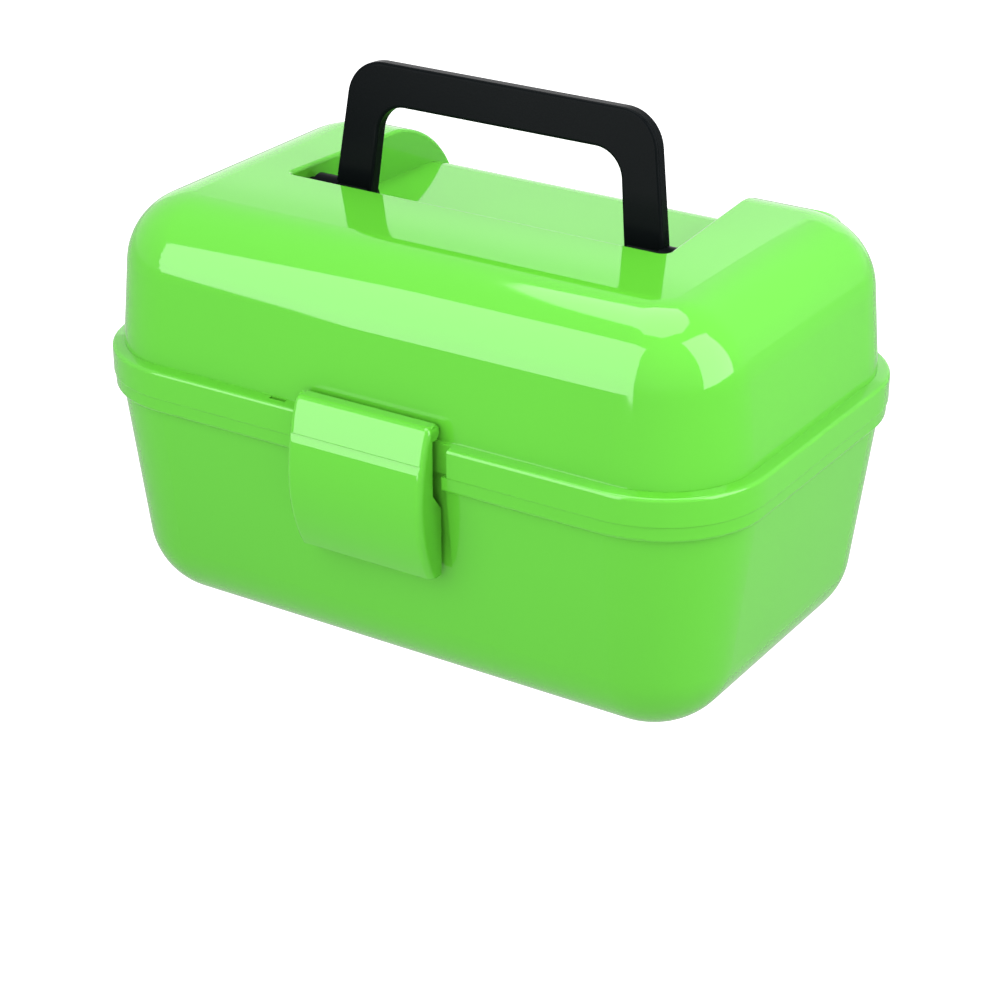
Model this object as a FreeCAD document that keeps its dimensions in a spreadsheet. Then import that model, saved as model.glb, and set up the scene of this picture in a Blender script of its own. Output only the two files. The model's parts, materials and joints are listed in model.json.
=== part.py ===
import FreeCAD, Part
import math
import os
import Sketcher
from FreeCAD import Placement, Rotation, Vector

# Small moulded tackle box: open-topped base, domed lid on a rear pin hinge,
# flip-up front latch, fold-down carry handle in a recess of the lid, and one
# lift-out tray that rises and moves back with the lid on a parallel linkage.
# Millimetres. X is the length, -Y the front with the latch, +Z up. The origin
# is the centre of the flat bottom.

doc = FreeCAD.newDocument("tackle_box")
sheet = doc.addObject("Spreadsheet::Sheet", "dims")
V = {}


def dim(name, value, note):
    row = len(V) + 1
    sheet.set("A%d" % row, note)
    sheet.set("B%d" % row, "%.6g" % value)
    sheet.setAlias("B%d" % row, name)
    V[name] = float(value)


# ---------------------------------------------------------------- dimensions
dim("rim_half_l", 127.0, "half length of the rim band")
dim("rim_half_w", 80.17, "half width of the rim band")
dim("rim_corner", 38.95, "plan corner radius of the rim band")
dim("seam_z", 86.12, "height of the parting line")
dim("wall", 2.2, "moulded wall thickness")

dim("base_step", 3.08, "base wall set in from the rim band")
dim("base_top", 80.66, "underside of the base rim band")
dim("base_draft", 6.85, "base wall draft, degrees")
dim("base_slope", 0.1201, "base wall draft, mm per mm")
dim("base_round", 27.2, "round between wall and floor, outside")
dim("band_step", 0.45, "base rim band set in from the lid band")
dim("band_draft", 2.5, "base rim band draft, degrees")
dim("band_round", 1.5, "round on the lower edge of the base rim band")
dim("floor_t", 2.4, "base floor thickness")
dim("lip_in", 3.0, "locating lip outer face, set in from the rim")
dim("lip_top", 89.6, "top of the locating lip")
dim("lip_gap", 0.4, "lip to lid clearance")

dim("dome_z", 96.86, "top of the ledge, foot of the lid wall")
dim("dome_in", 4.56, "lid wall foot set in from the rim")
dim("dome_draft", 5.0, "lid wall draft, degrees")
dim("dome_slope", 0.0875, "lid wall draft, mm per mm")
dim("dome_top", 150.1, "top of the lid")
dim("dome_round", 25.4, "round between lid wall and top")
dim("ledge_drop", 0.8, "fall of the ledge towards the rim edge")
dim("back_half", 110.0, "half length of the flat back panel of the lid")
dim("back_y", 80.0, "face of the lid's flat back panel")
dim("back_rad", 40.0, "round between the back panel and the top")
dim("back_start", 45.5, "where that round starts on the top")
dim("back_end_z", 130.34, "where that round meets the back panel")

dim("rec_front", -12.3, "front wall of the handle recess")
dim("rec_floor", 133.0, "floor of the handle recess")
dim("rec_left", 79.15, "recess side wall from the middle, left, at the front wall")
dim("rec_right", 72.55, "recess side wall from the middle, right, at the front wall")
dim("rec_taper", 0.078, "recess narrowing towards the back, per side")
dim("rec_corner", 3.0, "upright corner radius of the recess")
dim("rec_lip", 1.3, "round over the recess's upper edge")
dim("rec_back", 100.0, "recess runs out through the back")

dim("hinge_y", 83.8, "lid hinge axis, behind the rim")
dim("hinge_z", 86.12, "lid hinge axis height")
dim("knuckle_rad", 3.2, "hinge knuckle radius")
dim("hpin_rad", 1.1, "hinge pin radius")
dim("run_gap", 0.05, "radial running clearance")
dim("kn_a", 52.0, "inner end of the hinge group")
dim("kn_b", 60.0, "end of the inner base knuckle")
dim("kn_c", 74.0, "start of the outer base knuckle")
dim("kn_d", 82.0, "outer end of the hinge group")
dim("kn_gap", 0.4, "side gap between knuckles")

dim("piv_y", 0.0, "handle pivot")
dim("piv_z", 141.5, "handle pivot height")
dim("stub_rad", 3.8, "handle stub radius")
dim("boss_rad", 6.0, "handle boss radius")
dim("han_lean", 3.6, "handle leans back at rest, degrees")
dim("han_t", 5.6, "handle thickness")
dim("han_top", 50.1, "top of the handle over its pivot")
dim("han_bar", 14.6, "height of the handle bar")
dim("han_foot_out", 66.5, "leg outer half width at the pivot")
dim("han_foot_in", 51.2, "leg inner half width at the pivot")

dim("lat_half", 26.8, "latch half width")
dim("lat_y", -78.7, "latch pivot")
dim("lat_z", 100.3, "latch pivot height")
dim("lat_barrel", 2.7, "latch barrel radius")
dim("lpin_rad", 1.0, "latch pin radius")
dim("lat_bottom", 48.6, "lower edge of the latch")
dim("notch_left", 28.6, "lid notch at the latch, left end from the middle")
dim("notch_right", 31.7, "lid notch at the latch, right end from the middle")
dim("notch_y", -77.3, "face of the lid notch")
dim("pocket_left", 28.6, "pocket in the base, left end from the middle")
dim("pocket_right", 29.4, "pocket in the base, right end from the middle")
dim("pocket_deep", 1.8, "depth of the pocket")
dim("pocket_low", 50.5, "lower end of the pocket, where it runs out")
dim("pocket_full", 62.0, "height from which the pocket has its full depth")

dim("tray_half_l", 112.0, "half length of the tray")
dim("tray_half_w", 66.0, "half width of the tray")
dim("tray_low", 72.0, "underside of the tray")
dim("tray_high", 107.0, "top of the tray")
dim("tray_wall", 1.8, "tray wall thickness")
dim("tray_corner", 20.0, "tray corner radius")
dim("div_t", 1.6, "divider thickness")
dim("div_pitch", 55.2, "divider spacing")

dim("armb_y", 20.0, "arm pivot on the base")
dim("armb_z", 82.5, "arm pivot on the base, height")
dim("armt_y", -29.8, "arm pivot on the tray")
dim("armt_z", 78.1, "arm pivot on the tray, height")
dim("ear_y", 34.0, "tray pivot on the lid ear")
dim("ear_z", 81.72, "tray pivot on the lid ear, height")
dim("tpin_rad", 2.0, "tray pin shank radius")
dim("arm_x", 114.4, "inner face of the arm")
dim("arm_t", 2.5, "arm thickness")
dim("ear_x", 117.6, "inner face of the lid ear")
doc.recompute()


# ------------------------------------------------- values tied to their cells
class Q:
    """A length that carries its value and the cell formula it comes from."""

    def __init__(self, v, e):
        self.v = v
        self.e = e

    def __add__(self, o):
        o = q(o)
        return Q(self.v + o.v, "(%s + %s)" % (self.e, o.e))

    def __sub__(self, o):
        o = q(o)
        return Q(self.v - o.v, "(%s - %s)" % (self.e, o.e))

    def __mul__(self, o):
        o = q(o)
        return Q(self.v * o.v, "(%s * %s)" % (self.e, o.e))

    def __neg__(self):
        return Q(-self.v, "(0 - %s)" % self.e)

    def __radd__(self, o):
        return q(o) + self

    def __rsub__(self, o):
        return q(o) - self

    def __rmul__(self, o):
        return q(o) * self


def q(x):
    return x if isinstance(x, Q) else Q(float(x), "(%.6f)" % float(x))


def D(name):
    return Q(V[name], "dims." + name)


# ------------------------------------------------------------------- helpers
def place(o, x, y, z, rot=None):
    x, y, z = q(x), q(y), q(z)
    o.Placement = Placement(Vector(x.v, y.v, z.v), rot or Rotation())
    o.setExpression("Placement.Base.x", x.e)
    o.setExpression("Placement.Base.y", y.e)
    o.setExpression("Placement.Base.z", z.e)


def box(name, x0, x1, y0, y1, z0, z1):
    o = doc.addObject("Part::Box", name)
    for prop, a, b in (("Length", x0, x1), ("Width", y0, y1), ("Height", z0, z1)):
        s = q(b) - a
        setattr(o, prop, s.v)
        o.setExpression(prop, s.e)
    place(o, x0, y0, z0)
    return o


ALONG_X = Rotation(Vector(0, 1, 0), 90)


def rod(name, x0, x1, y, z, r):
    """Cylinder along X."""
    o = doc.addObject("Part::Cylinder", name)
    r, s = q(r), q(x1) - x0
    o.Radius = r.v
    o.setExpression("Radius", r.e)
    o.Height = s.v
    o.setExpression("Height", s.e)
    place(o, x0, y, z, ALONG_X)
    return o


def cone(name, x0, x1, y, z, r0, r1):
    """Cone along X, radius r0 at x0 and r1 at x1."""
    o = doc.addObject("Part::Cone", name)
    for prop, val in (("Radius1", q(r0)), ("Radius2", q(r1)), ("Height", q(x1) - x0)):
        setattr(o, prop, val.v)
        o.setExpression(prop, val.e)
    place(o, x0, y, z, ALONG_X)
    return o


def fuse(name, parts):
    if len(parts) == 1:
        return parts[0]
    o = doc.addObject("Part::MultiFuse", name)
    o.Shapes = parts
    o.Refine = True
    return o


def cut(name, base, tool):
    o = doc.addObject("Part::Cut", name)
    o.Base = base
    o.Tool = tool
    o.Refine = True
    return o


def common(name, a, b):
    o = doc.addObject("Part::MultiCommon", name)
    o.Shapes = [a, b]
    return o


def new_body(name):
    return doc.addObject("PartDesign::Body", name)


def new_sketch(body, name, role, off):
    s = body.newObject("Sketcher::SketchObject", name)
    plane = [f for f in body.Origin.OriginFeatures if f.Role == role][0]
    s.AttachmentSupport = [(plane, "")]
    s.MapMode = "FlatFace"
    off = q(off)
    s.AttachmentOffset = Placement(Vector(0, 0, off.v), Rotation())
    s.setExpression("AttachmentOffset.Base.z", off.e)
    return s


def outline(s, pts, arcs=None):
    """Closed outline through pts; arcs maps a segment's number to (radius,
    side), side 1 for a centre on the left of the run and -1 on the right."""
    arcs = arcs or {}
    pts = [(q(a), q(b)) for a, b in pts]
    n = len(pts)
    first = s.GeometryCount
    ends = []
    for i in range(n):
        p, r = pts[i], pts[(i + 1) % n]
        px, py, rx, ry = p[0].v, p[1].v, r[0].v, r[1].v
        if i in arcs:
            rad, side = q(arcs[i][0]).v, arcs[i][1]
            dx, dy = rx - px, ry - py
            run = math.hypot(dx, dy)
            h = math.sqrt(max(rad * rad - run * run / 4, 0))
            cx = (px + rx) / 2 - dy / run * side * h
            cy = (py + ry) / 2 + dx / run * side * h
            a0 = math.atan2(py - cy, px - cx)
            a1 = math.atan2(ry - cy, rx - cx)
            if side < 0:
                a0, a1 = a1, a0
            if a1 < a0:
                a1 += 2 * math.pi
            circle = Part.Circle(Vector(cx, cy, 0), Vector(0, 0, 1), rad)
            s.addGeometry(Part.ArcOfCircle(circle, a0, a1), False)
            ends.append((1, 2) if side > 0 else (2, 1))
        else:
            s.addGeometry(Part.LineSegment(Vector(px, py, 0), Vector(rx, ry, 0)), False)
            ends.append((1, 2))
    for i in range(n):
        j = (i + 1) % n
        s.addConstraint(Sketcher.Constraint(
            "Coincident", first + i, ends[i][1], first + j, ends[j][0]))
    for i in range(n):
        for k, kind in ((0, "DistanceX"), (1, "DistanceY")):
            c = s.addConstraint(Sketcher.Constraint(
                kind, -1, 1, first + i, ends[i][0], pts[i][k].v))
            s.setExpression("Constraints[%d]" % c, pts[i][k].e)
    for i in arcs:
        rad = q(arcs[i][0])
        c = s.addConstraint(Sketcher.Constraint("Radius", first + i, rad.v))
        s.setExpression("Constraints[%d]" % c, rad.e)


def rounded(s, hx, hy, r):
    """Rounded rectangle of half sizes hx and hy about the origin."""
    hx, hy, r = q(hx), q(hy), q(r)
    outline(s, [(hx - r, -hy), (hx, r - hy), (hx, hy - r), (hx - r, hy),
                (r - hx, hy), (-hx, hy - r), (-hx, r - hy), (r - hx, -hy)],
            {0: (r, 1), 2: (r, 1), 4: (r, 1), 6: (r, 1)})


def pad(body, s, length, down=False, name="Pad"):
    p = body.newObject("PartDesign::Pad", name)
    p.Profile = s
    length = q(length)
    p.Length = length.v
    p.setExpression("Length", length.e)
    p.Reversed = down
    s.Visibility = False
    doc.recompute()
    return p


def slab(name, hx, hy, r, z0, z1):
    """Straight-sided plate with a rounded rectangular outline."""
    b = new_body(name)
    s = new_sketch(b, name + "_outline", "XY_Plane", z0)
    rounded(s, hx, hy, r)
    pad(b, s, q(z1) - z0, name=name + "_pad")
    return b


def prism(name, pts, x0, x1, arcs=None):
    """Outline in the YZ plane, carried along X from x0 to x1."""
    b = new_body(name)
    s = new_sketch(b, name + "_outline", "YZ_Plane", x0)
    outline(s, pts, arcs)
    pad(b, s, q(x1) - x0, name=name + "_pad")
    return b


def edges_of(shape, test):
    return ["Edge%d" % (i + 1) for i, e in enumerate(shape.Edges) if test(e)]


def fillet(body, base, names, radius, name):
    f = body.newObject("PartDesign::Fillet", name)
    f.Base = (base, names)
    radius = q(radius)
    f.Radius = radius.v
    f.setExpression("Radius", radius.e)
    doc.recompute()
    return f


def drafted(name, hx, hy, r, z_ref, z_end, draft, round_r=None):
    """Rounded rectangular block whose outline is stated at z_ref and shrinks
    with the draft towards z_end, where its edge may be rounded."""
    down = q(z_end).v < q(z_ref).v
    b = new_body(name)
    s = new_sketch(b, name + "_outline", "XY_Plane", z_ref)
    rounded(s, hx, hy, r)
    length = q(z_ref) - z_end if down else q(z_end) - z_ref
    p = pad(b, s, length, down, name + "_pad")
    sides, ref = [], None
    for i, f in enumerate(p.Shape.Faces):
        bb = f.BoundBox
        if bb.ZMax - bb.ZMin > 0.5:
            sides.append("Face%d" % (i + 1))
        elif abs(bb.ZMax - q(z_ref).v) < 1e-4:
            ref = "Face%d" % (i + 1)
    d = b.newObject("PartDesign::Draft", name + "_draft")
    d.Base = (p, sides)
    d.NeutralPlane = (p, [ref])
    draft = q(draft)
    d.Angle = draft.v
    d.setExpression("Angle", draft.e)
    doc.recompute()
    if d.Shape.Volume > p.Shape.Volume:
        d.Reversed = True
        doc.recompute()
    if d.Shape.Volume > p.Shape.Volume:
        raise SystemExit(name + ": draft points the wrong way")
    if round_r is not None:
        ze = q(z_end).v
        names = edges_of(d.Shape, lambda e: abs(e.BoundBox.ZMax - ze) < 1e-4
                         and abs(e.BoundBox.ZMin - ze) < 1e-4)
        fillet(b, d, names, round_r, name + "_round")
    return b


nodes = []


def node(o, name):
    o.Label = name
    nodes.append((o, name))
    return o


SIDES = (("left", -1), ("right", 1))


def span(side, a, b):
    """X interval from a to b on one side of the middle."""
    a, b = q(a), q(b)
    return (a, b) if side > 0 else (-b, -a)


# ---------------------------------------------------------------------- base
base_outer = drafted("base_outer", D("rim_half_l") - D("base_step"),
                     D("rim_half_w") - D("base_step"),
                     D("rim_corner") - D("base_step"),
                     D("base_top"), 0, D("base_draft"), D("base_round"))
base_band = drafted("base_band", D("rim_half_l") - D("band_step"),
                    D("rim_half_w") - D("band_step"),
                    D("rim_corner") - D("band_step"),
                    D("seam_z"), D("base_top"), D("band_draft"), D("band_round"))
lip = slab("base_lip", D("rim_half_l") - D("lip_in"), D("rim_half_w") - D("lip_in"),
           D("rim_corner") - D("lip_in"), D("seam_z") - 1, D("lip_top"))
# the lip stops short of the latch, where the lid is thicker
lip_cut = cut("lip_at_front", lip,
              box("lip_break", -33.8, 33.8, -90, -60, D("seam_z"), 95))
# inner faces follow the outer wall, one wall thickness in, and run up
# through the rim on the same draft
top_over = q(90.5)
in_top = D("base_step") + D("wall") - D("base_slope") * (top_over - D("base_top"))
base_cavity = drafted("base_cavity", D("rim_half_l") - in_top,
                      D("rim_half_w") - in_top, D("rim_corner") - in_top,
                      top_over, D("floor_t"), D("base_draft"),
                      D("base_round") - D("wall"))
shell0 = cut("base_shell_plain", fuse("base_blank", [base_outer, base_band, lip_cut]),
             base_cavity)


def wall_y(z, inwards):
    """Front wall's outer face at height z, moved inwards."""
    return D("base_step") + inwards - D("rim_half_w") + D("base_slope") * (D("base_top") - z)


# pocket behind the latch, with the wall carried inwards behind it
backing = prism("pocket_backing", [
    (wall_y(49, 1.0), 49), (wall_y(49, 4.0), 49), (wall_y(D("base_top"), 4.0), D("base_top")),
    (wall_y(D("base_top"), 4.0), D("seam_z")), (wall_y(D("base_top"), 0.5), D("seam_z")),
    (wall_y(D("base_top"), 1.0), D("base_top"))], -33.2, 33.2)
pocket = prism("latch_pocket", [
    (-92, D("pocket_low")), (wall_y(D("pocket_low"), -0.05), D("pocket_low")),
    (wall_y(D("pocket_full"), D("pocket_deep")), D("pocket_full")),
    (wall_y(D("base_top"), D("pocket_deep")), D("base_top")),
    (wall_y(D("base_top"), D("pocket_deep")), D("seam_z") + 1), (-92, D("seam_z") + 1)],
    -D("pocket_left"), D("pocket_right"))
catch = prism("latch_catch", [
    (-73.4, 70.4), (-77.6, 71.0), (-78.3, 71.8), (-78.3, 73.2), (-77.6, 74.0), (-73.4, 75.6)],
    -18, 18)

base_adds, base_bores = [catch], []
for side, sg in SIDES:
    for tag, a, b in (("in", D("kn_a"), D("kn_b")), ("out", D("kn_c"), D("kn_d"))):
        x0, x1 = span(sg, a, b)
        base_adds.append(rod("base_knuckle_%s_%s" % (tag, side), x0, x1,
                             D("hinge_y"), D("hinge_z"), D("knuckle_rad")))
        base_adds.append(prism("base_leaf_%s_%s" % (tag, side), [
            (76.4, D("seam_z") - 0.2), (76.4, 74.5), (D("hinge_y") + 2.2, D("hinge_z") - 2.3),
            (D("hinge_y") + 2.2, D("seam_z") - 0.2)][::-1], x0, x1))
        base_bores.append(rod("base_bore_%s_%s" % (tag, side), x0 - 1, x1 + 1,
                              D("hinge_y"), D("hinge_z"), D("hpin_rad")))
    # boss for the tray arm, inside the end wall
    x0, x1 = span(sg, D("ear_x") - 0.3, 122.3)
    base_adds.append(rod("arm_boss_" + side, x0, x1, D("armb_y"), D("armb_z"), 5.4))
    x0, x1 = span(sg, D("ear_x") - 1.3, 121.2)
    base_bores.append(rod("arm_boss_bore_" + side, x0, x1, D("armb_y"), D("armb_z"),
                          D("tpin_rad")))
backed = fuse("base_backed", [shell0, backing])
pocketed = cut("base_pocketed", backed, pocket)
base_full = fuse("base_with_fittings", [pocketed] + base_adds)
base_shell = node(cut("base_shell_body", base_full, fuse("base_bores", base_bores)),
                  "base_shell")

# ----------------------------------------------------------------------- lid
band_body = new_body("lid_band")
band_sketch = new_sketch(band_body, "lid_band_outline", "XY_Plane", D("seam_z"))
rounded(band_sketch, D("rim_half_l"), D("rim_half_w"), D("rim_corner"))
band_pad = pad(band_body, band_sketch, D("dome_z") - D("seam_z"), name="lid_band_pad")
chamfer = band_body.newObject("PartDesign::Chamfer", "lid_ledge")
chamfer.Base = (band_pad, edges_of(band_pad.Shape, lambda e: abs(
    e.BoundBox.ZMin - V["dome_z"]) < 1e-4))
chamfer.ChamferType = 1
chamfer.Size = V["dome_in"]
chamfer.Size2 = V["ledge_drop"]
chamfer.setExpression("Size", "dims.dome_in")
chamfer.setExpression("Size2", "dims.ledge_drop")
doc.recompute()
full = 4 * V["rim_half_l"] * V["rim_half_w"] * (V["dome_z"] - V["seam_z"])
side_low = min(e.BoundBox.ZMin for e in chamfer.Shape.Edges
               if e.BoundBox.ZMin > V["seam_z"] + 1)
if abs(side_low - (V["dome_z"] - V["ledge_drop"])) > 0.1:
    chamfer.FlipDirection = True
    doc.recompute()
# the ledge's lower edge and the band's lower edge are slightly rounded
brk = band_body.newObject("PartDesign::Fillet", "lid_band_breaks")
z_edge = V["dome_z"] - V["ledge_drop"]
brk.Base = (chamfer, edges_of(chamfer.Shape, lambda e: abs(
    e.BoundBox.ZMin - z_edge) < 1e-3 and abs(e.BoundBox.ZMax - z_edge) < 1e-3))
brk.Radius = 1.3
doc.recompute()
brk2 = fillet(band_body, brk, edges_of(brk.Shape, lambda e: abs(
    e.BoundBox.ZMax - V["seam_z"]) < 1e-4), 0.6, "lid_band_low_edge")

dome = drafted("lid_dome", D("rim_half_l") - D("dome_in"), D("rim_half_w") - D("dome_in"),
               D("rim_corner") - D("dome_in") - 0.9, D("dome_z"), D("dome_top"),
               D("dome_draft"), D("dome_round"))
cav_z = D("seam_z") - 1
cav_in = D("dome_in") + D("wall") - D("dome_slope") * (D("dome_z") - cav_z)
dome_cavity = drafted("lid_cavity", D("rim_half_l") - cav_in, D("rim_half_w") - cav_in,
                      D("rim_corner") - cav_in, cav_z, D("dome_top") - D("wall"),
                      D("dome_draft"), D("dome_round") - D("wall"))
# space for the locating lip inside the band
lip_room = slab("lip_room", D("rim_half_l") - D("lip_in") + D("lip_gap"),
                D("rim_half_w") - D("lip_in") + D("lip_gap"),
                D("rim_corner") - D("lip_in") + D("lip_gap"), D("seam_z") - 1,
                D("lip_top") + 0.6)


# unit normal of the recess's side walls, and the tangent length per radius of
# the arc between them and the front wall
TAPER_C, TAPER_S, TAPER_T = 0.99697, 0.07776, 1.08107


def recess(name, grow, z0, corner=None):
    """Block that fills the handle recess, grown on all sides."""
    k = D("rec_taper")
    y0 = D("rec_front") - grow
    xl, xr = -D("rec_left") - grow, D("rec_right") + grow
    run = D("rec_back") - D("rec_front")
    b = new_body(name)
    s = new_sketch(b, name + "_outline", "XY_Plane", z0)
    if corner is None:
        outline(s, [(xl, y0), (xr, y0), (xr - k * run, D("rec_back")),
                    (xl + k * run, D("rec_back"))])
    else:
        # arcs that meet the front wall and the tapering side walls smoothly
        cl, cr, yt = xl + corner * TAPER_T, xr - corner * TAPER_T, y0 + corner + corner * TAPER_S
        outline(s, [(cl, y0), (cr, y0), (cr + corner * TAPER_C, yt),
                    (xr - k * run, D("rec_back")), (xl + k * run, D("rec_back")),
                    (cl - corner * TAPER_C, yt)],
                {1: (corner, 1), 5: (corner, 1)})
    pad(b, s, q(200) - z0, name=name + "_pad")
    return b


rec = recess("handle_recess", q(0), D("rec_floor"), D("rec_corner"))
rec_keep = recess("recess_walls", D("wall"), D("rec_floor") - D("wall"))
cavity0 = fuse("lid_inside", [dome_cavity, lip_room])
front_block = box("lid_notch_backing", -33, 33, D("notch_y") - 0.5, D("notch_y") + 2.4,
                  D("seam_z"), D("dome_z") - 0.9)
# flat back panel, flush with the rim, with a wide round up to the top
back_solid = common("back_panel", drafted(
    "back_panel_block", D("back_half"), q(86), 30, D("seam_z") + 6, D("dome_top"),
    D("dome_draft"), D("dome_round")), prism("back_panel_profile", [
        (D("back_start"), D("dome_top")), (D("back_y"), D("back_end_z")),
        (D("back_y"), D("seam_z") + 7), (40, D("seam_z") + 7), (40, D("dome_top"))],
        -125, 125, {0: (D("back_rad"), -1)}))
back_hollow = common("back_panel_hollow", drafted(
    "back_hollow_block", D("back_half") - D("wall"), q(86) - D("wall"), 27.8,
    D("seam_z") + 6, D("dome_top") - D("wall"), D("dome_draft"),
    D("dome_round") - D("wall")), prism("back_hollow_profile", [
        (D("back_start"), D("dome_top") - D("wall")), (D("back_y") - D("wall"), 129.734),
        (D("back_y") - D("wall"), 99.1), (40, 99.1), (40, D("dome_top") - D("wall"))],
        -125, 125, {0: (D("back_rad") - D("wall"), -1)}))
hollow_kept = cut("back_panel_hollow_kept", back_hollow,
                  box("floor_end_wall", -76, 70, 69, 80, 126.0, 140))
lid_hollow = cut("lid_hollow", fuse("lid_hollow_all", [cavity0, hollow_kept]), rec_keep)
# the recess is cut into the dome, its floor rounds off at the back and its
# upper edge is rounded over
floor_end = common("recess_floor_end", recess("recess_floor_low", q(0), D("rec_floor") - 9,
                                              D("rec_corner")),
                   prism("recess_floor_round", [
                       (67.5, D("rec_floor")), (80.5, 125.483), (85, 125.483), (85, 141), (67.5, 141)],
                       -90, 90, {0: (15, -1)}))
rec_all = fuse("recess_all", [rec, floor_end])
dome_open = cut("dome_with_recess", fuse("dome_with_back", [dome, back_solid]), rec_all)
doc.recompute()
walls = [f for f in rec.Shape.Faces if f.BoundBox.ZMax - f.BoundBox.ZMin > 1]
lip_edges = []
for i, e in enumerate(dome_open.Shape.Edges):
    bb = e.BoundBox
    mid = Part.Vertex(e.valueAt((e.FirstParameter + e.LastParameter) / 2))
    if (bb.ZMax > V["rec_floor"] + 1 and bb.XMax - bb.XMin + bb.YMax - bb.YMin > 0.5
            and min(f.distToShape(mid)[0] for f in walls) < 1e-3):
        lip_edges.append((i + 1, V["rec_lip"], V["rec_lip"]))
dome_lip = doc.addObject("Part::Fillet", "recess_edge")
dome_lip.Base = dome_open
dome_lip.Edges = lip_edges
doc.recompute()
lid0 = cut("lid_plain", fuse("lid_blank", [band_body, dome_lip]), lid_hollow)
lid1 = fuse("lid_backed", [lid0, front_block])
notch = box("lid_notch", -D("notch_left"), D("notch_right"), -95, D("notch_y"),
            D("seam_z") - 1, D("dome_z") + 1)
slot = box("ledge_slot", -41, -34.6, -77.3, -75.95, D("dome_z") - 2.2, D("dome_z") + 3)

lid_adds, lid_bores = [], [notch, slot]
for side, sg in SIDES:
    # hinge knuckle between the base knuckles
    x0, x1 = span(sg, D("kn_b") + D("kn_gap"), D("kn_c") - D("kn_gap"))
    lid_adds.append(rod("lid_knuckle_" + side, x0, x1, D("hinge_y"), D("hinge_z"),
                        D("knuckle_rad")))
    lid_adds.append(prism("lid_leaf_" + side, [
        (79.2, D("seam_z") + 0.2), (D("hinge_y") + 2.2, D("seam_z") + 0.2),
        (D("hinge_y") + 2.2, D("hinge_z") + 2.3), (80.6, 93.2), (79.2, 93.2)], x0, x1))
    lid_bores.append(rod("lid_knuckle_bore_" + side, x0 - 1, x1 + 1, D("hinge_y"),
                         D("hinge_z"), D("hpin_rad") + D("run_gap")))
    # ear that carries the tray
    x0, x1 = span(sg, D("ear_x"), D("ear_x") + 2.3)
    lid_adds.append(rod("tray_ear_eye_" + side, x0, x1, D("ear_y"), D("ear_z"), 6.5))
    lid_adds.append(box("tray_ear_" + side, x0, x1, D("ear_y") - 6.5, D("ear_y") + 6.5,
                        D("ear_z"), 106))
    x0, x1 = span(sg, D("ear_x") + 1.8, 121.0)
    lid_adds.append(box("tray_ear_foot_" + side, x0, x1, D("ear_y") - 6.5, D("ear_y") + 6.5,
                        D("dome_z") + 0.6, 106))
    x0, x1 = span(sg, D("ear_x") - 1, D("ear_x") + 3.3)
    lid_bores.append(rod("tray_ear_bore_" + side, x0, x1, D("ear_y"), D("ear_z"),
                         D("tpin_rad") + D("run_gap")))
    # holes for the handle's stubs
    hole = (68.9, 75.3) if sg > 0 else (75.5, 82.0)
    x0, x1 = span(sg, *hole)
    lid_bores.append(rod("stub_hole_" + side, x0, x1, D("piv_y"), D("piv_z"),
                         D("stub_rad") + D("run_gap")))
    # lugs for the latch pin, standing out of the notch
    x0, x1 = span(sg, 11.0, 15.0)
    lid_adds.append(rod("latch_lug_eye_" + side, x0, x1, D("lat_y"), D("lat_z"), 1.9))
    lid_adds.append(box("latch_lug_neck_" + side, x0, x1, D("lat_y") - 1.9, D("lat_y") + 0.7,
                        D("lat_z") - 9.6, D("lat_z")))
    lid_adds.append(box("latch_lug_foot_" + side, x0, x1, D("lat_y") - 1.9, D("notch_y") + 0.6,
                        D("lat_z") - 9.6, D("lat_z") - 5.2))
    lid_bores.append(rod("latch_lug_bore_" + side, x0 - 1, x1 + 1, D("lat_y"), D("lat_z"),
                         D("lpin_rad")))
lid2 = cut("lid_cut", lid1, fuse("lid_notches", lid_bores[:2]))
lid3 = fuse("lid_with_fittings", [lid2] + lid_adds)
lid_shell = node(cut("lid_shell_body", lid3, fuse("lid_bores", lid_bores[2:])), "lid_shell")

# --------------------------------------------------------------- hinge pins
for side, sg in SIDES:
    x0, x1 = span(sg, D("kn_a") - 0.6, D("kn_d") + 0.6)
    shank = rod("hinge_pin_shank_" + side, x0, x1, D("hinge_y"), D("hinge_z"), D("hpin_rad"))
    x2, x3 = span(sg, D("kn_d") + 0.1, D("kn_d") + 1.1)
    head = rod("hinge_pin_head_" + side, x2, x3, D("hinge_y"), D("hinge_z"), 1.9)
    x4, x5 = span(sg, D("kn_a") - 1.1, D("kn_a") - 0.1)
    head2 = rod("hinge_pin_peen_" + side, x4, x5, D("hinge_y"), D("hinge_z"), 1.6)
    node(fuse("hinge_pin_%s_body" % side, [shank, head, head2]), "hinge_pin_" + side)

# -------------------------------------------------------------------- handle
# Built about its pivot, then placed there with its lean.
out_k, in_k = 0.134, 0.104       # lean of the leg faces, mm per mm
OUT_N, OUT_S = 0.99114, 0.13281  # outer leg face: unit normal
IN_N, IN_S = 0.99463, 0.10344    # inner leg face
R_OUT, R_IN = q(14.0), q(10.5)
top = D("han_top")
bar_low = top - D("han_bar")
oz = top - R_OUT + R_OUT * OUT_S
ox = D("han_foot_out") - oz * out_k
oc = ox - R_OUT * OUT_N
iz = bar_low - R_IN + R_IN * IN_S
ix = D("han_foot_in") - iz * in_k
ic = ix - R_IN * IN_N
hb = new_body("handle_bow")
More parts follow.
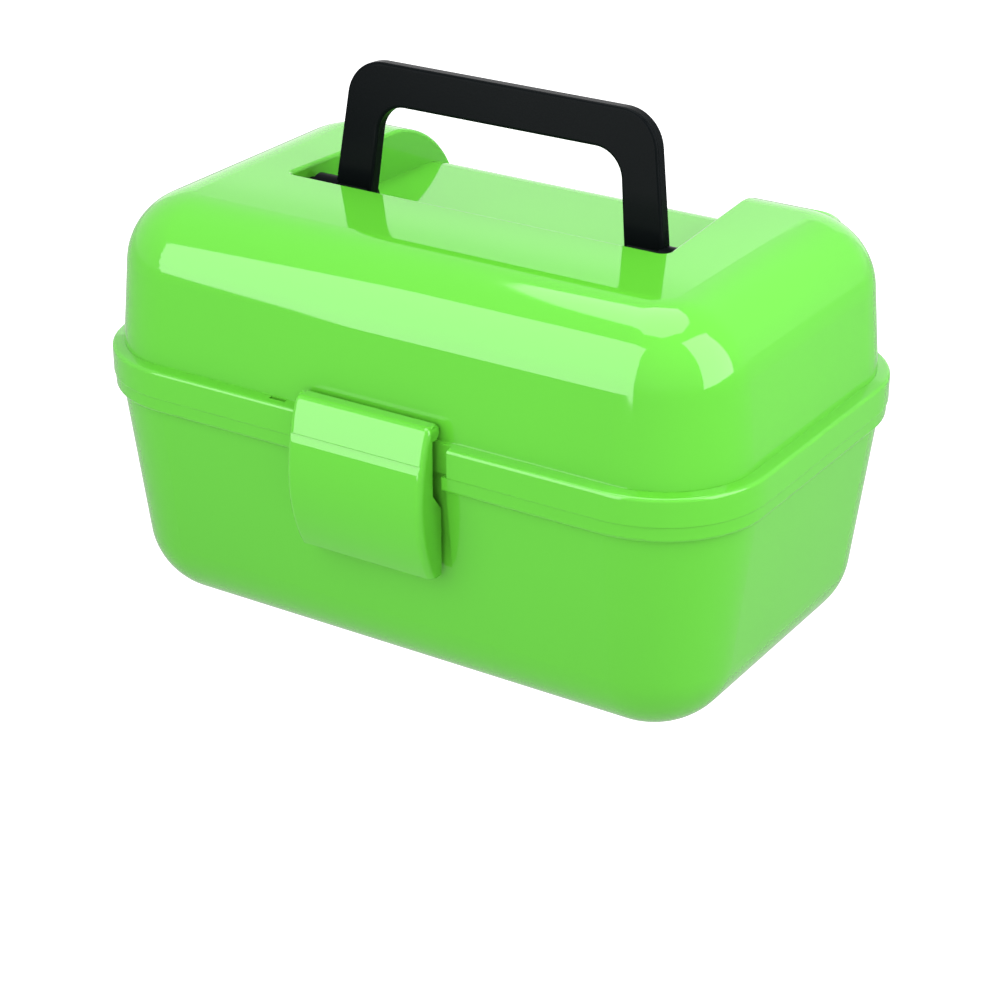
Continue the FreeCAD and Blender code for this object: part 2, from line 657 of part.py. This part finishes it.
# the sketch looks along +Y, so its offset runs towards -Y
hs = new_sketch(hb, "handle_bow_outline", "XZ_Plane", D("han_t") * 0.5)
outline(hs, [(D("han_foot_in"), 0), (D("han_foot_out"), 0), (ox, oz),
             (oc, top), (-oc, top), (-ox, oz),
             (-D("han_foot_out"), 0), (-D("han_foot_in"), 0), (-ix, iz),
             (-ic, bar_low), (ic, bar_low), (ix, iz)],
        {2: (R_OUT, 1), 4: (R_OUT, 1), 8: (R_IN, -1), 10: (R_IN, -1)})
hp = pad(hb, hs, D("han_t"), down=True, name="handle_bow_pad")
half_t = V["han_t"] / 2
if abs(hp.Shape.BoundBox.YMax - half_t) > 1e-3:
    raise SystemExit("handle pad points the wrong way")
h_edges = edges_of(hp.Shape, lambda e: e.BoundBox.ZMax > 1 and (
    e.BoundBox.YMax - e.BoundBox.YMin) < 1e-4)
fillet(hb, hp, h_edges, 1.15, "handle_edges")
handle_parts = [hb]
for side, sg in SIDES:
    # the boss ends short of the recess wall and its stub passes through it
    boss_end, stub_end = (70.4, 73.4) if sg > 0 else (74.6, 80.2)
    x0, x1 = span(sg, D("han_foot_in") + 1.2, D("han_foot_out") - 0.6)
    handle_parts.append(rod("handle_foot_" + side, x0, x1, 0, 0, D("boss_rad") - 0.6))
    x0, x1 = span(sg, D("han_foot_out") - 2.0, boss_end)
    handle_parts.append(rod("handle_boss_" + side, x0, x1, 0, 0, D("boss_rad")))
    x0, x1 = span(sg, D("han_foot_out") - 1, stub_end)
    handle_parts.append(rod("handle_stub_" + side, x0, x1, 0, 0, D("stub_rad")))
handle_all = fuse("carry_handle_body", handle_parts)
place(handle_all, 0, D("piv_y"), D("piv_z"), Rotation(Vector(1, 0, 0), -V["han_lean"]))
carry_handle = node(handle_all, "carry_handle")

# --------------------------------------------------------------------- latch
LY, LZ = D("lat_y"), D("lat_z")
BR = D("lat_barrel")
lb = new_body("latch_block")
ls = new_sketch(lb, "latch_profile", "YZ_Plane", -D("lat_half"))
# two arcs, upright where they meet, with a round over the top edge
outline(ls, [(LY + 1.5, LZ + BR), (-82.46, LZ + BR), (-88.4, 75.0),
             (-81.4, D("lat_bottom")), (-76.0, D("lat_bottom")), (-76.0, 72.6),
             (-80.8, 78.8), (-80.8, LZ - 0.4), (LY + 1.5, LZ - 0.4)],
        {1: (68.96, 1), 2: (53.28, 1)})
lp = pad(lb, ls, D("lat_half") * 2, name="latch_pad")


def on_front(e):
    bb = e.BoundBox
    if bb.XMax - bb.XMin > 1e-4 or abs(abs(bb.XMin) - V["lat_half"]) > 1e-4:
        return False
    return (bb.YMin < -81.5 and bb.YMax < -80.99) or bb.ZMin > V["lat_z"] + 2.6


def top_front(e):
    bb = e.BoundBox
    return bb.XMax - bb.XMin > 50 and bb.YMax < -81.9 and bb.ZMin > 99


rounded_top = fillet(lb, lp, edges_of(lp.Shape, top_front), 3.0, "latch_top_edge")
fillet(lb, rounded_top, edges_of(rounded_top.Shape, on_front), 2.3, "latch_edges")
latch_inside = prism("latch_inside", [
    (-82.9, 96.0), (-86.2, 75.0), (-78.8, 47.6), (-70, 47.6), (-70, 96.0)],
    -D("lat_half") + 2.0, D("lat_half") - 2.0, {0: (68.47, 1), 1: (54.42, 1)})
# fine step across the front
latch_step = prism("latch_step", [
    (-92, 91.25), (-92, 88.0), (-87.19, 88.0), (-86.22, 90.95), (-86.44, 91.25)],
    -40, 40)
latch_cuts = [latch_inside, latch_step]
for side, sg in SIDES:
    x0, x1 = span(sg, 10.5, 15.5)
    latch_cuts.append(rod("latch_lug_room_" + side, x0, x1, LY, LZ, 2.3))
    latch_cuts.append(prism("latch_lug_sweep_" + side, [
        (LY, LZ), (LY - 2.3, LZ), (LY - 2.3, 89), (-70, 89), (-70, LZ + 4.014),
        (LY + 4.458, LZ + 4.014)], x0, x1))
hook = prism("latch_hook", [
    (-86.4, 66.2), (-79.3, 67.2), (-78.7, 67.9), (-78.7, 69.0), (-79.2, 69.7), (-86.4, 70.6)],
    -16, 16)
latch_barrel = rod("latch_barrel", 0.5 - D("lat_half"), D("lat_half") - 0.5, LY, LZ, BR)
latch_hollow = cut("latch_hollow", fuse("latch_solid", [lb, latch_barrel]),
                   fuse("latch_cuts", latch_cuts))
latch_all = fuse("latch_with_hook", [latch_hollow, hook])
latch = node(cut("latch_body", latch_all, rod("latch_bore", -D("lat_half") - 1, 25.4, LY, LZ,
                                              D("lpin_rad") + D("run_gap"))), "latch")
node(rod("latch_pin_body", -D("lat_half") + 0.4, 25.1, LY, LZ, D("lpin_rad")), "latch_pin")

# ---------------------------------------------------------------------- tray
tb = new_body("tray_block")
ts = new_sketch(tb, "tray_outline", "XY_Plane", D("tray_low"))
rounded(ts, D("tray_half_l"), D("tray_half_w"), D("tray_corner"))
tp = pad(tb, ts, D("tray_high") - D("tray_low"), name="tray_pad")
fillet(tb, tp, edges_of(tp.Shape, lambda e: abs(e.BoundBox.ZMax - V["tray_low"]) < 1e-4),
       3.0, "tray_low_edge")
ti = new_body("tray_space")
tis = new_sketch(ti, "tray_space_outline", "XY_Plane", D("tray_low") + D("tray_wall"))
rounded(tis, D("tray_half_l") - D("tray_wall"), D("tray_half_w") - D("tray_wall"),
        D("tray_corner") - D("tray_wall"))
tip = pad(ti, tis, D("tray_high") - D("tray_low"), name="tray_space_pad")
fillet(ti, tip, edges_of(tip.Shape, lambda e: abs(
    e.BoundBox.ZMax - V["tray_low"] - V["tray_wall"]) < 1e-4), 1.4, "tray_space_edge")
tray0 = cut("tray_open", tb, ti)
tray_floor = D("tray_low") + D("tray_wall")
ribs = [box("tray_mid_rib", -D("tray_half_l") + 1, D("tray_half_l") - 1, -0.9, 0.9,
            tray_floor - 0.5, D("tray_high") - 3)]
for i, k in enumerate((-1, 0, 1)):
    xc = D("div_pitch") * k
    for rn, ya, yb2, yc, yd in (
            ("front", -D("tray_half_w") + 1.0, -D("tray_half_w") + 3.6, q(-2.7), q(-0.5)),
            ("back", D("tray_half_w") - 3.6, D("tray_half_w") - 1.0, q(0.5), q(2.7))):
        for tag, xa, xb in (("a", xc - 2.1, xc - 0.95), ("b", xc + 0.95, xc + 2.1)):
            ribs.append(box("guide_wall_%s_%d%s" % (rn, i, tag), xa, xb, ya, yb2,
                            tray_floor - 0.5, D("tray_high") - 6))
            ribs.append(box("guide_rib_%s_%d%s" % (rn, i, tag), xa, xb, yc, yd,
                            tray_floor - 0.5, D("tray_high") - 6))
tray_bores = []
for side, sg in SIDES:
    x0, x1 = span(sg, D("tray_half_l") - 0.5, D("arm_x") - 0.4)
    ribs.append(rod("arm_seat_" + side, x0, x1, D("armt_y"), D("armt_z"), 4.6))
    x0, x1 = span(sg, D("tray_half_l") - 0.5, D("ear_x") - 0.4)
    ribs.append(rod("ear_seat_" + side, x0, x1, D("ear_y"), D("ear_z"), 4.6))
    x0, x1 = span(sg, D("tray_half_l") - 3, 118)
    tray_bores.append(rod("arm_seat_bore_" + side, x0, x1, D("armt_y"), D("armt_z"),
                          D("tpin_rad")))
    tray_bores.append(rod("ear_seat_bore_" + side, x0, x1, D("ear_y"), D("ear_z"),
                          D("tpin_rad")))
tray = node(cut("tray_body", fuse("tray_ribbed", [tray0] + ribs),
                fuse("tray_bores", tray_bores)), "tray")

# removable dividers, dropped between the guides
n = 0
for rn, sy in (("front", -1), ("back", 1)):
    for i, k in enumerate((-1, 0, 1)):
        xc = D("div_pitch") * k
        name = "tray_divider_%s_%s" % (rn, ("left", "middle", "right")[i])
        ya, yb2 = q(1.15), D("tray_half_w") - D("tray_wall") - 0.25
        if sy > 0:
            pts = [(ya, tray_floor), (yb2 - 1.6, tray_floor), (yb2, tray_floor + 1.6),
                   (yb2, D("tray_high") - 5), (yb2 - 3, D("tray_high") - 3),
                   (q(42.0), D("tray_high") - 3), (q(23.0), D("tray_high") - 3),
                   (ya, D("tray_high") - 3)]
            arcs = {5: (14.0, 1)}
        else:
            pts = [(1.6 - yb2, tray_floor), (-ya, tray_floor), (-ya, D("tray_high") - 3),
                   (q(-23.0), D("tray_high") - 3), (q(-42.0), D("tray_high") - 3),
                   (3 - yb2, D("tray_high") - 3), (-yb2, D("tray_high") - 5),
                   (-yb2, tray_floor + 1.6)]
            arcs = {3: (14.0, 1)}
        # the thumb dip in the top edge curves down into the plate
        arcs = {kk: (vv[0], -1) for kk, vv in arcs.items()}
        node(prism(name + "_body", pts, xc - D("div_t") * 0.5, xc + D("div_t") * 0.5, arcs),
             name)

# ------------------------------------------------------- tray arms and pins
for side, sg in SIDES:
    x0, x1 = span(sg, D("arm_x"), D("arm_x") + D("arm_t"))
    ay, az, ty, tz = D("armb_y"), D("armb_z"), D("armt_y"), D("armt_z")
    # unit vector along the arm and its normal
    ex, ez = -0.99612, -0.08801
    w = 5.0
    plate = prism("arm_plate_" + side, [
        (ay - ez * w, az + ex * w), (ay + ez * w, az - ex * w),
        (ty + ez * w * 0.9, tz - ex * w * 0.9), (ty - ez * w * 0.9, tz + ex * w * 0.9)],
        x0, x1)
    arm = fuse("arm_blank_" + side, [
        plate, rod("arm_end_base_" + side, x0, x1, ay, az, w),
        rod("arm_end_tray_" + side, x0, x1, ty, tz, w * 0.9)])
    holes = fuse("arm_holes_" + side, [
        rod("arm_hole_base_" + side, x0 - 1, x1 + 1, ay, az, D("tpin_rad") + D("run_gap")),
        rod("arm_hole_tray_" + side, x0 - 1, x1 + 1, ty, tz, D("tpin_rad") + 0.15)])
    node(cut("tray_arm_%s_body" % side, arm, holes), "tray_arm_" + side)
    # pin from the inner side of the arm into the boss of the base
    h0, h1 = span(sg, D("arm_x") - 1.3, D("arm_x") - 0.2)
    s0, s1 = span(sg, D("arm_x") - 0.3, 121.0)
    node(fuse("arm_base_pin_%s_body" % side, [
        rod("arm_base_pin_head_" + side, h0, h1, ay, az, 3.6),
        rod("arm_base_pin_shank_" + side, s0, s1, ay, az, D("tpin_rad"))]),
        "arm_base_pin_" + side)
    # pin from the outer side of the arm into the tray's end
    h0, h1 = span(sg, D("arm_x") + D("arm_t") + 0.2, D("arm_x") + D("arm_t") + 1.4)
    s0, s1 = span(sg, D("tray_half_l") - 1.6, D("arm_x") + D("arm_t") + 0.3)
    node(fuse("arm_tray_pin_%s_body" % side, [
        rod("arm_tray_pin_head_" + side, h0, h1, ty, tz, 3.6),
        rod("arm_tray_pin_shank_" + side, s0, s1, ty, tz, D("tpin_rad"))]),
        "arm_tray_pin_" + side)
    # pin from inside the tray into the lid's ear
    h0, h1 = span(sg, D("tray_half_l") - D("tray_wall") - 1.4, D("tray_half_l") - D("tray_wall"))
    s0, s1 = span(sg, D("tray_half_l") - D("tray_wall") - 0.2, D("ear_x") + 2.1)
    node(fuse("tray_lid_pin_%s_body" % side, [
        rod("tray_lid_pin_head_" + side, h0, h1, D("ear_y"), D("ear_z"), 3.6),
        rod("tray_lid_pin_shank_" + side, s0, s1, D("ear_y"), D("ear_z"), D("tpin_rad"))]),
        "tray_lid_pin_" + side)

# --------------------------------------------------------- checks and output
doc.recompute()
bad = []
for o in doc.Objects:
    if "Invalid" in o.State or "Error" in o.State:
        bad.append(o.Name + " " + str(o.State))
for o, name in nodes:
    if o.Shape.isNull() or not o.Shape.isValid():
        bad.append(name + " has no valid shape")
if bad:
    raise SystemExit("\n".join(bad))
os.makedirs("parts", exist_ok=True)
for o, name in nodes:
    o.Shape.exportStep("parts/%s.step" % name)
    bb = o.Shape.BoundBox
    print("%-28s solids %d  volume %10.1f  x %.1f..%.1f  y %.1f..%.1f  z %.1f..%.1f" % (
        name, len(o.Shape.Solids), o.Shape.Volume, bb.XMin, bb.XMax, bb.YMin, bb.YMax,
        bb.ZMin, bb.ZMax))
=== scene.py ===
import math

import bpy
from mathutils import Matrix, Vector
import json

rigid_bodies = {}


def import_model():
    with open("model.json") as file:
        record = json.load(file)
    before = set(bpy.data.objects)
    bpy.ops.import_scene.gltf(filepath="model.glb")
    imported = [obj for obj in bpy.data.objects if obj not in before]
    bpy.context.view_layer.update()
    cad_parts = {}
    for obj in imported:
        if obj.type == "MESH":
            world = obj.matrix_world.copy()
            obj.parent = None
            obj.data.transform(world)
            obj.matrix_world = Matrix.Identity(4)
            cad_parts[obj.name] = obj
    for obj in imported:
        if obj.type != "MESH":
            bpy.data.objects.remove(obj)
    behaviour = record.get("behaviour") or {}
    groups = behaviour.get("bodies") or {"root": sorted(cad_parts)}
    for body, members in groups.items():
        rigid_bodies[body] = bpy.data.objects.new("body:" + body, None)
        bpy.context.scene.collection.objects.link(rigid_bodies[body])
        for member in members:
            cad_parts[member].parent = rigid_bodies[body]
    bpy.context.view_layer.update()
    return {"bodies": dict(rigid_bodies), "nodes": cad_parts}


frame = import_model()
bodies, nodes = frame["bodies"], frame["nodes"]

# ------------------------------------------------------------------ camera
AZ, EL, ROLL = math.radians(32.234), math.radians(25.539), math.radians(0.212)
TARGET = Vector((0.000375, 0.002156, 0.03734))
DIST = 0.94505


def make_camera():
    back = Vector((math.sin(AZ) * math.cos(EL), -math.cos(AZ) * math.cos(EL), math.sin(EL)))
    fwd = -back
    right = fwd.cross(Vector((0, 0, 1))).normalized()
    up = right.cross(fwd)
    r = math.cos(ROLL) * right + math.sin(ROLL) * up
    u = -math.sin(ROLL) * right + math.cos(ROLL) * up
    cam = bpy.data.cameras.new("camera")
    ob = bpy.data.objects.new("camera", cam)
    bpy.context.scene.collection.objects.link(ob)
    cam.sensor_width = 36.0
    cam.sensor_fit = "HORIZONTAL"
    cam.lens = 2632.5 / 1001.0 * 36.0
    cam.clip_start = 0.01
    cam.clip_end = 50
    rot = Matrix((r, u, back)).transposed().to_4x4()
    ob.matrix_world = Matrix.Translation(TARGET + back * DIST) @ rot
    bpy.context.scene.camera = ob
    return ob


make_camera()


# --------------------------------------------------------------- materials
def new_mat(name):
    m = bpy.data.materials.new(name)
    m.use_nodes = True
    nt = m.node_tree
    nt.nodes.clear()
    out = nt.nodes.new("ShaderNodeOutputMaterial")
    p = nt.nodes.new("ShaderNodeBsdfPrincipled")
    nt.links.new(p.outputs[0], out.inputs[0])
    return m, nt, p


def plastic(name, color, rough, var=0.03, bump=0.02, scale=900, ior=1.5, level=0.5):
    m, nt, p = new_mat(name)
    tc = nt.nodes.new("ShaderNodeTexCoord")
    n1 = nt.nodes.new("ShaderNodeTexNoise")
    n1.inputs["Scale"].default_value = 9
    n1.inputs["Detail"].default_value = 3
    nt.links.new(tc.outputs["Object"], n1.inputs["Vector"])
    ramp = nt.nodes.new("ShaderNodeMixRGB")
    ramp.inputs[1].default_value = (*[c * (1 - var) for c in color], 1)
    ramp.inputs[2].default_value = (*[min(1, c * (1 + var)) for c in color], 1)
    nt.links.new(n1.outputs["Fac"], ramp.inputs[0])
    nt.links.new(ramp.outputs[0], p.inputs["Base Color"])
    n2 = nt.nodes.new("ShaderNodeTexNoise")
    n2.inputs["Scale"].default_value = 35
    n2.inputs["Detail"].default_value = 4
    nt.links.new(tc.outputs["Object"], n2.inputs["Vector"])
    mr = nt.nodes.new("ShaderNodeMapRange")
    mr.inputs["To Min"].default_value = rough * 0.85
    mr.inputs["To Max"].default_value = rough * 1.15
    nt.links.new(n2.outputs["Fac"], mr.inputs["Value"])
    nt.links.new(mr.outputs[0], p.inputs["Roughness"])
    n3 = nt.nodes.new("ShaderNodeTexNoise")
    n3.inputs["Scale"].default_value = scale
    n3.inputs["Detail"].default_value = 2
    nt.links.new(tc.outputs["Object"], n3.inputs["Vector"])
    b = nt.nodes.new("ShaderNodeBump")
    b.inputs["Strength"].default_value = bump
    b.inputs["Distance"].default_value = 0.0004
    nt.links.new(n3.outputs["Fac"], b.inputs["Height"])
    nt.links.new(b.outputs[0], p.inputs["Normal"])
    p.inputs["IOR"].default_value = ior
    p.inputs["Specular IOR Level"].default_value = level
    return m


def steel(name):
    m, nt, p = new_mat(name)
    tc = nt.nodes.new("ShaderNodeTexCoord")
    mp = nt.nodes.new("ShaderNodeMapping")
    mp.inputs["Scale"].default_value = (60, 900, 900)
    nt.links.new(tc.outputs["Object"], mp.inputs["Vector"])
    n = nt.nodes.new("ShaderNodeTexNoise")
    n.inputs["Scale"].default_value = 6
    n.inputs["Detail"].default_value = 3
    nt.links.new(mp.outputs[0], n.inputs["Vector"])
    mr = nt.nodes.new("ShaderNodeMapRange")
    mr.inputs["To Min"].default_value = 0.22
    mr.inputs["To Max"].default_value = 0.38
    nt.links.new(n.outputs["Fac"], mr.inputs["Value"])
    nt.links.new(mr.outputs[0], p.inputs["Roughness"])
    mix = nt.nodes.new("ShaderNodeMixRGB")
    mix.inputs[1].default_value = (0.48, 0.48, 0.50, 1)
    mix.inputs[2].default_value = (0.62, 0.62, 0.63, 1)
    nt.links.new(n.outputs["Fac"], mix.inputs[0])
    nt.links.new(mix.outputs[0], p.inputs["Base Color"])
    p.inputs["Metallic"].default_value = 1.0
    return m


green = plastic("green_plastic", (0.0605, 0.294, 0.0185), 0.06, bump=0.004)
black = plastic("black_plastic", (0.0022, 0.0029, 0.0033), 0.22, bump=0.03, scale=1600, level=0.022)
grey = plastic("tray_plastic", (0.20, 0.21, 0.215), 0.38, bump=0.05, scale=1400)
black_arm = plastic("arm_plastic", (0.02, 0.02, 0.022), 0.35, bump=0.05, scale=1400)
steel_m = steel("pin_steel")

for name, ob in nodes.items():
    if name in ("base_shell", "lid_shell", "latch"):
        mat = green
    elif name == "carry_handle":
        mat = black
    elif name.startswith("tray_arm"):
        mat = black_arm
    elif "pin" in name:
        mat = steel_m
    else:
        mat = grey
    for s in ob.material_slots:
        s.material = mat

# ------------------------------------------------------------------- stage
scene = bpy.context.scene
scene.view_settings.view_transform = "Standard"
scene.view_settings.look = "None"


def plane(name, z, glow):
    me = bpy.data.meshes.new(name)
    w = 5.0
    me.from_pydata([(-w, -w, 0), (w, -w, 0), (w, w, 0), (-w, w, 0)], [], [(0, 1, 2, 3)])
    ob = bpy.data.objects.new(name, me)
    bpy.context.scene.collection.objects.link(ob)
    ob.location.z = z
    m, nt, p = new_mat(name)
    p.inputs["Base Color"].default_value = (0.05, 0.05, 0.05, 1)
    p.inputs["Roughness"].default_value = 0.9
    p.inputs["Specular IOR Level"].default_value = 0.0
    p.inputs["Emission Color"].default_value = (1, 1, 1, 1)
    p.inputs["Emission Strength"].default_value = glow
    me.materials.append(m)
    return ob


def emitter(name, top, bottom, light, shine):
    """Soft panel between a top and a bottom edge, each a list of points."""
    n = len(top)
    panel(name, list(bottom) + list(top),
          [(i, i + 1, n + i + 1, n + i) for i in range(n - 1)], light, shine)


def outline(name, points, light, shine):
    """Soft panel with this outline."""
    panel(name, points, [tuple(range(len(points)))], light, shine)


def panel(name, verts, faces, light, shine):
    """light is what the panel gives the surfaces, shine is what they mirror."""
    if light:
        one_panel(name + "_light", verts, faces, light).visible_glossy = False
    ob = one_panel(name + "_shine", verts, faces, shine)
    ob.visible_diffuse = ob.visible_shadow = False


def one_panel(name, verts, faces, strength):
    me = bpy.data.meshes.new(name)
    me.from_pydata(verts, [], faces)
    ob = bpy.data.objects.new(name, me)
    bpy.context.scene.collection.objects.link(ob)
    m = bpy.data.materials.new(name)
    m.use_nodes = True
    nt = m.node_tree
    nt.nodes.clear()
    out = nt.nodes.new("ShaderNodeOutputMaterial")
    e = nt.nodes.new("ShaderNodeEmission")
    e.inputs[0].default_value = (1, 1, 1, 1)
    e.inputs[1].default_value = strength
    nt.links.new(e.outputs[0], out.inputs[0])
    me.materials.append(m)
    ob.visible_camera = False
    return ob


# a lit white table that stays white right up to the object; what the box mirrors of it is
# dimmer
plane("floor", -0.0003, 1.49).visible_glossy = False
shine = plane("floor_shine", -0.0006, 0.56)
shine.visible_diffuse = shine.visible_camera = shine.visible_shadow = False

# softbox at the front left, close to the object
emitter("softbox_front",
        [(-0.306, -0.272, 0.348), (-0.265, -0.266, 0.40), (-0.225, -0.262, 0.46),
         (-0.150, -0.285, 0.505), (0.080, -0.366, 0.555)],
        [(-0.284, -0.301, 0.140), (-0.250, -0.3135, 0.110), (-0.205, -0.321, 0.095),
         (-0.150, -0.330, 0.065), (0.068, -0.371, 0.050)], 4.33, 5.3)
# softbox at the right
emitter("softbox_right", [(0.481, -0.197, 0.927), (0.428, 0.189, 0.697)],
        [(0.501, -0.159, 0.096), (0.475, 0.131, 0.150)], 8.7, 6.0)
# large softbox overhead, an outline at one height
TOP = [(-0.604, 0.418), (-0.575, 0.190), (-0.552, 0.080), (-0.534, 0.000), (-0.508, -0.106),
       (-0.461, -0.173), (-0.353, -0.225), (-0.132, -0.380), (0.203, -0.349), (0.420, -0.011),
       (0.305, 0.344), (0.106, 0.547), (-0.200, 0.748), (-0.452, 0.676)]
outline("softbox_top", [(x, y, 1.2) for x, y in TOP], 6.6, 4.8)
# low bright backdrop behind
emitter("backdrop", [(-1.55, 1.10, 0.64), (0.10, 1.10, 0.64)],
        [(-1.55, 1.10, 0.0), (0.10, 1.10, 0.0)], 0, 1.35)



def fill(name, place, size, watts):
    """Square light that the surfaces don't mirror, aimed at the object."""
    lamp = bpy.data.lights.new(name, "AREA")
    lamp.shape = "SQUARE"
    lamp.size = size
    lamp.energy = watts
    ob = bpy.data.objects.new(name, lamp)
    bpy.context.scene.collection.objects.link(ob)
    ob.location = place
    ob.rotation_euler = (Vector((0, 0, 0.08)) - Vector(place)).to_track_quat("-Z", "Y").to_euler()
    ob.visible_glossy = False


fill("fill_front", (0.10, -0.95, 0.55), 0.5, 4.5)
fill("fill_right", (0.75, 0.05, 0.30), 0.3, 2.6)
fill("fill_low", (0.35, -0.75, 0.08), 0.3, 1.1)

world = bpy.data.worlds.new("world")
scene.world = world
world.use_nodes = True
world.node_tree.nodes["Background"].inputs[0].default_value = (1, 1, 1, 1)
world.node_tree.nodes["Background"].inputs[1].default_value = 0.92
